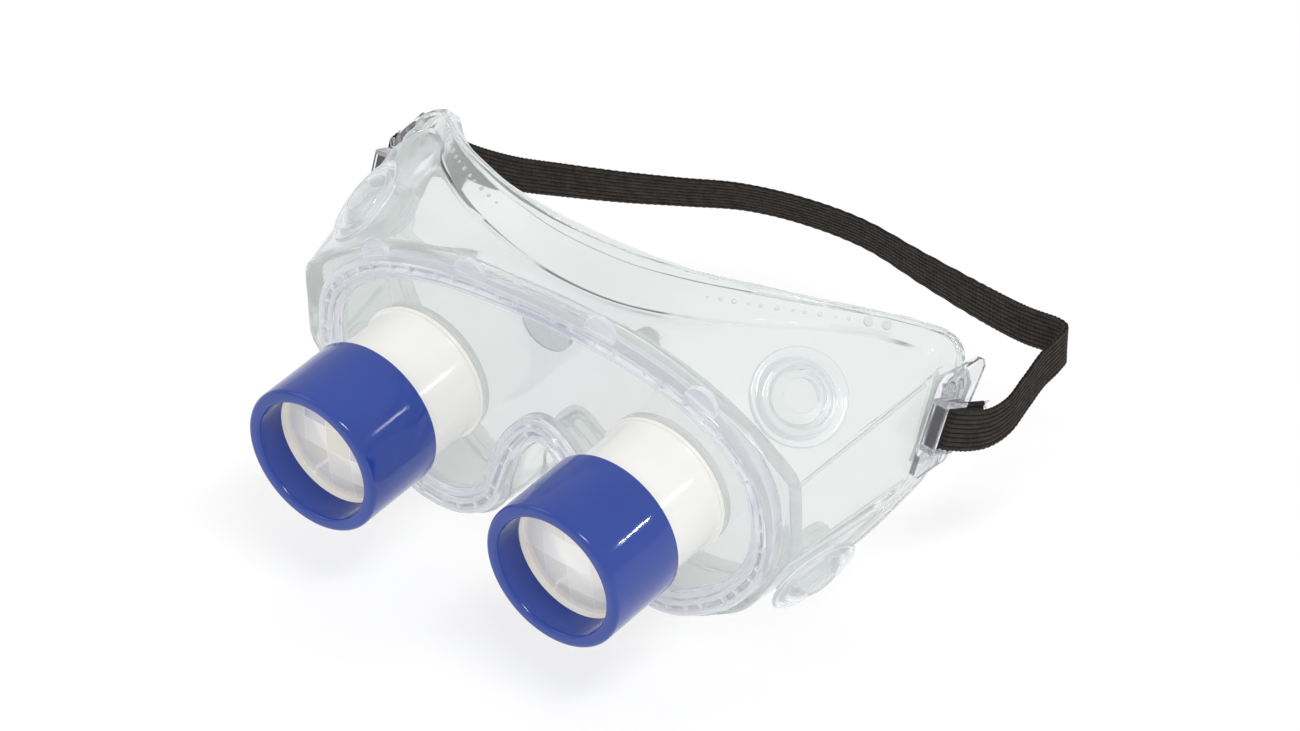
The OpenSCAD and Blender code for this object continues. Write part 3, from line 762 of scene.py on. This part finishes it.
def temple(outline, x0, x1):
    verts, faces = slab(outline, x0, x1)
    return [templePoint(v.y, v.x, v.z) for v in verts], faces


def rod(radius, z0, z1, place, steps=24):
    ends = [(radius - 0.15, z0), (radius, z0 + 0.15), (radius, z1 - 0.15), (radius - 0.15, z1)]
    verts, faces = lathe(ends, steps, False)
    faces += [tuple(range(steps)), tuple(range(4 * steps - 1, 3 * steps - 1, -1))]
    return [place(v) for v in verts], faces


def makeClip(side, word):
    c = clip
    tall, root = c["slot"] + 2 * c["arm"], c["plate"] - 0.3
    parts = [temple(c["outline"], 0.1, c["plate"]),
             brick((root, 0, 0), (c["out"], c["wall"], tall), boxPoint),
             brick((root, 0, 0), (c["out"], c["reach"], c["arm"]), boxPoint),
             brick((root, 0, tall - c["arm"]), (c["out"], c["reach"], tall), boxPoint),
             rod(c["barRadius"], 0, tall, lambda v: boxPoint(c["bar"][0] + v.x, c["bar"][1] + v.y, v.z)),
             rod(c["pegRadius"], -3, c["plate"],
                 lambda v: templePoint(v.z, c["peg"][0] + v.x, c["peg"][1] + v.y))]
    # ribs on the plate above and below the box, and the rounded foot
    for y, z in ((6, 19.4), (9, 18.2), (12, 17.4)):
        parts.append(brick((c["plate"] - 0.1, y, z), (c["plate"] + 0.9, y + 0.8, z + 2.6), templePoint))
    parts.append(rod(c["footRadius"], c["plate"] - 0.2, c["plate"] + 0.7,
                     lambda v: templePoint(v.z, c["foot"][0] + v.x, c["foot"][1] + v.y)))
    verts, faces = joined(parts)
    verts = [Vector((side * v.x, v.y, v.z)) for v in verts]
    makePiece(word + "Clip", verts, faces, clipClear, "mask", [word + "_strap_clip"],
              smooth=35, bevel=0.22, weld=False)
    # the soft pad of the shell that the clip's peg goes into
    verts, faces = temple(c["block"], -c["blockThick"], 0)
    verts = [Vector((side * v.x, v.y, v.z)) for v in verts]
    makePiece(word + "ClipPad", verts, faces, vinyl, "mask", smooth=35, bevel=0.4)


for side, word in ((-1, "left"), (1, "right")):
    makeClip(side, word)

# the elastic: a ribbed band along the middle line, [x, y, z, lean]
strap = {"width": 10.6, "thick": 1.2, "ribs": 9, "ribDepth": 0.42, "steps": 22, "edgePitch": 1.15,
         "edgeWave": 0.12,
         "route": [(92.6, 51, 8.8, 27), (94.4, 56, 7.6, 24), (95.4, 62, 8, 20), (95.4, 69, 10.4, 14),
                   (95.2, 76, 12.6, 10), (95.6, 82, 13.8, 6), (95, 86, 14.2, 4), (91.6, 87.4, 14.2, 6),
                   (82, 87.2, 13.6, 8), (68.6, 88.8, 13, 6), (48, 92, 12.5, -2), (27, 95.6, 12, -10),
                   (8.5, 95, 11.5, -14), (-8, 91.4, 11, -16), (-22, 84.8, 10.5, -14), (-36, 78.2, 10, -8),
                   (-50.6, 72.2, 9.5, -2), (-63, 67.4, 9.2, 2), (-75, 64.6, 9.4, 8), (-84.6, 64.6, 9.8, 14),
                   (-91, 61.6, 9.8, 18), (-93, 56, 9.4, 24), (-91.8, 51, 9.2, 27)]}


def strapLine():
    reach = clip["barRadius"] + clip["barClear"] + strap["thick"] / 2
    middle = clip["arm"] + clip["slot"] / 2
    bar = clip["bar"]
    turn = [boxPoint(bar[0] - reach + 0.02 * (y - 10), y, middle) for y in (19, 15, 10)]
    for degrees in range(180, 361, 45):
        a = math.radians(degrees)
        turn.append(boxPoint(bar[0] + reach * math.cos(a), bar[1] + reach * math.sin(a), middle))
    right = [Vector((*p, clip["lean"])) for p in turn]
    left = [Vector((-p[0], *p[1:])) for p in right[::-1]]
    return right + [Vector(p) for p in strap["route"]] + left


# the band's cross-section, with round ribs on both faces
def ribbedSection(swell):
    half, n, out = strap["width"] / 2 * swell, strap["ribs"], []
    for k in range(n):
        for s in (0.0, 0.14, 0.34, 0.66, 0.86):
            crown = strap["thick"] / 2 - strap["ribDepth"] * (abs(2 * s - 1) ** 2.5)
            out.append((-half + 2 * half * (k + s) / n, crown))
    out[0] = (out[0][0], 0.1)
    return out + [(-w, -t) for w, t in out]


# the band's upward direction, square to where it runs
def tipAt(lean, ahead):
    tip = Vector((0, math.sin(math.radians(lean)), math.cos(math.radians(lean))))
    return (tip - tip.dot(ahead) * ahead).normalized()


def makeStrap():
    line = openCurve(strapLine(), strap["steps"])
    at = [Vector(p[:3]) for p in line]
    n, run = len(at), 0
    rows = []
    for i in range(n):
        ahead = (at[min(i + 1, n - 1)] - at[max(i - 1, 0)]).normalized()
        tip = tipAt(line[i][3], ahead)
        face = ahead.cross(tip)
        run += (at[i] - at[i - 1]).length if i else 0
        swell = 1 + strap["edgeWave"] / strap["width"] * 2 * math.sin(2 * math.pi * run / strap["edgePitch"])
        rows.append([at[i] + tip * w + face * t for w, t in ribbedSection(swell)])
    verts, faces = capped(rows)
    piece = makePiece("elasticStrap", verts, faces, elastic, "mask", ["strap"],
                      smooth=80, weld=False)
    heights = piece.data.attributes.new("ribHeight", "FLOAT", "POINT")
    deepest = strap["thick"] / 2 - strap["ribDepth"]
    section = [min(max((abs(t) - deepest) / strap["ribDepth"], 0), 1) for _, t in ribbedSection(1)]
    for i in range(len(piece.data.vertices)):
        heights.data[i].value = section[i % len(section)]


makeStrap()


# the elastic's doubled fold, which fills the front of each clip's box
fold = {"thick": 1.58, "inset": 0.15, "side": 0.25, "back": 0.12, "from": 1.9}


def makeFolds():
    c, f = clip, fold
    low = (f["from"], c["wall"] + f["back"], c["arm"] + f["inset"])
    high = (c["out"] - f["side"], c["wall"] + f["back"] + f["thick"], c["arm"] + c["slot"] - f["inset"])
    verts, faces = brick(low, high, boxPoint)
    for side, word in ((-1, "left"), (1, "right")):
        makePiece(word + "ElasticFold", [Vector((side * v.x, v.y, v.z)) for v in verts], faces, elastic, "mask",
                  smooth=40, bevel=0.35)


# loose threads at the elastic's cut ends
fray = {"threads": 34, "radius": 0.07, "length": (0.7, 2.4), "bend": 0.9, "across": 0.48, "deep": 0.3,
        "sides": 5}


def makeFray():
    f = fray
    line = openCurve(strapLine(), strap["steps"])
    parts = []
    for first, second in ((line[0], line[1]), (line[-1], line[-2])):
        start = Vector(first[:3])
        away = (start - Vector(second[:3])).normalized()
        tip = tipAt(first[3], away)
        face = away.cross(tip)
        for k in range(f["threads"]):
            root = start + tip * random.uniform(-f["across"], f["across"]) * strap["width"]
            root += face * random.uniform(-f["deep"], f["deep"])
            reach = random.uniform(*f["length"])
            bend = tip * random.uniform(-1, 1) * f["bend"] + face * random.uniform(-1, 1) * f["bend"]
            rows = []
            for t in (-0.2, 0.25, 0.6, 1.0):
                centre = root + away * reach * t + bend * max(t, 0) ** 2
                r = f["radius"] * (1.1 - 0.6 * max(t, 0))
                rows.append([centre + (tip * math.cos(a) + face * math.sin(a)) * r
                             for a in (2 * math.pi * q / f["sides"] for q in range(f["sides"]))])
            parts.append(capped(rows))
    verts, faces = joined(parts)
    makePiece("frayedThreads", verts, faces, elastic, "mask", smooth=60)


makeFolds()
makeFray()
print("clips and strap made")

# CAD nodes that stay get their own finish
kept = {"lens_plate": plateClear, "left_collar_nut": nutClear, "right_collar_nut": nutClear,
        "left_lens_ring": bluePlastic, "right_lens_ring": bluePlastic}
for level in ("top", "bottom"):
    for word in ("left", "right"):
        kept[f"{level}_{word}_vent_ring"] = ventClear
for node, material in kept.items():
    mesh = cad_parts[node].data
    mesh.materials.clear()
    mesh.materials.append(material)

# a pale paper floor and soft lamps: [where, power, size], each aimed at the origin
studio = {"sky": 0.74, "floorGlow": 0.56, "floorBelow": 1.5, "floorHalf": 6, "bounces": 20,
          "key": ((0.55, -0.35, 1.0), 4.5, (0.5, 0.12)), "spark": ((0.89, 0.69, 0.45), 0.35, (0.045, 0.02)),
          "fill": ((-0.7, -0.5, 0.7), 1.0, (0.6, 0.6))}


def makeStudio():
    n = Nodes("palePaper")
    tone = n.ramp(n.noise(3, 3), (0.3, 0.45), (0.7, 0.47))
    paper = n.add("ShaderNodeBsdfPrincipled", {
        "Base Color": tone, "Roughness": 0.9, "Emission Strength": studio["floorGlow"],
        "Emission Color": (1, 1, 1, 1), "Specular IOR Level": 0.1})
    n.show(paper.outputs[0])
    z, half = cadLow.z - studio["floorBelow"] * mm, studio["floorHalf"]
    mesh = bpy.data.meshes.new("floor")
    corners = ((-half, -half, z), (half, -half, z), (half, half, z), (-half, half, z))
    mesh.from_pydata(corners, [], [(0, 1, 2, 3)])
    mesh.materials.append(n.material)
    floor = bpy.data.objects.new("floor", mesh)
    bpy.context.scene.collection.objects.link(floor)
    world = bpy.data.worlds.new("studio")
    world.use_nodes = True
    sky = world.node_tree.nodes["Background"]
    sky.inputs["Color"].default_value = (1, 1, 1, 1)
    sky.inputs["Strength"].default_value = studio["sky"]
    bpy.context.scene.world = world
    for name in ("key", "spark", "fill"):
        place, power, size = studio[name]
        light = bpy.data.lights.new(name, "AREA")
        light.shape, light.energy = "RECTANGLE", power
        light.size, light.size_y = size
        obj = bpy.data.objects.new(name, light)
        bpy.context.scene.collection.objects.link(obj)
        turn = Vector(place).to_track_quat("Z", "Y").to_matrix().to_4x4()
        obj.matrix_world = Matrix.Translation(place) @ turn
    bpy.context.scene.view_settings.view_transform = "Standard"
    cycles = bpy.context.scene.cycles
    cycles.max_bounces = cycles.transmission_bounces = cycles.transparent_max_bounces = studio["bounces"]


makeStudio()
print("studio made")
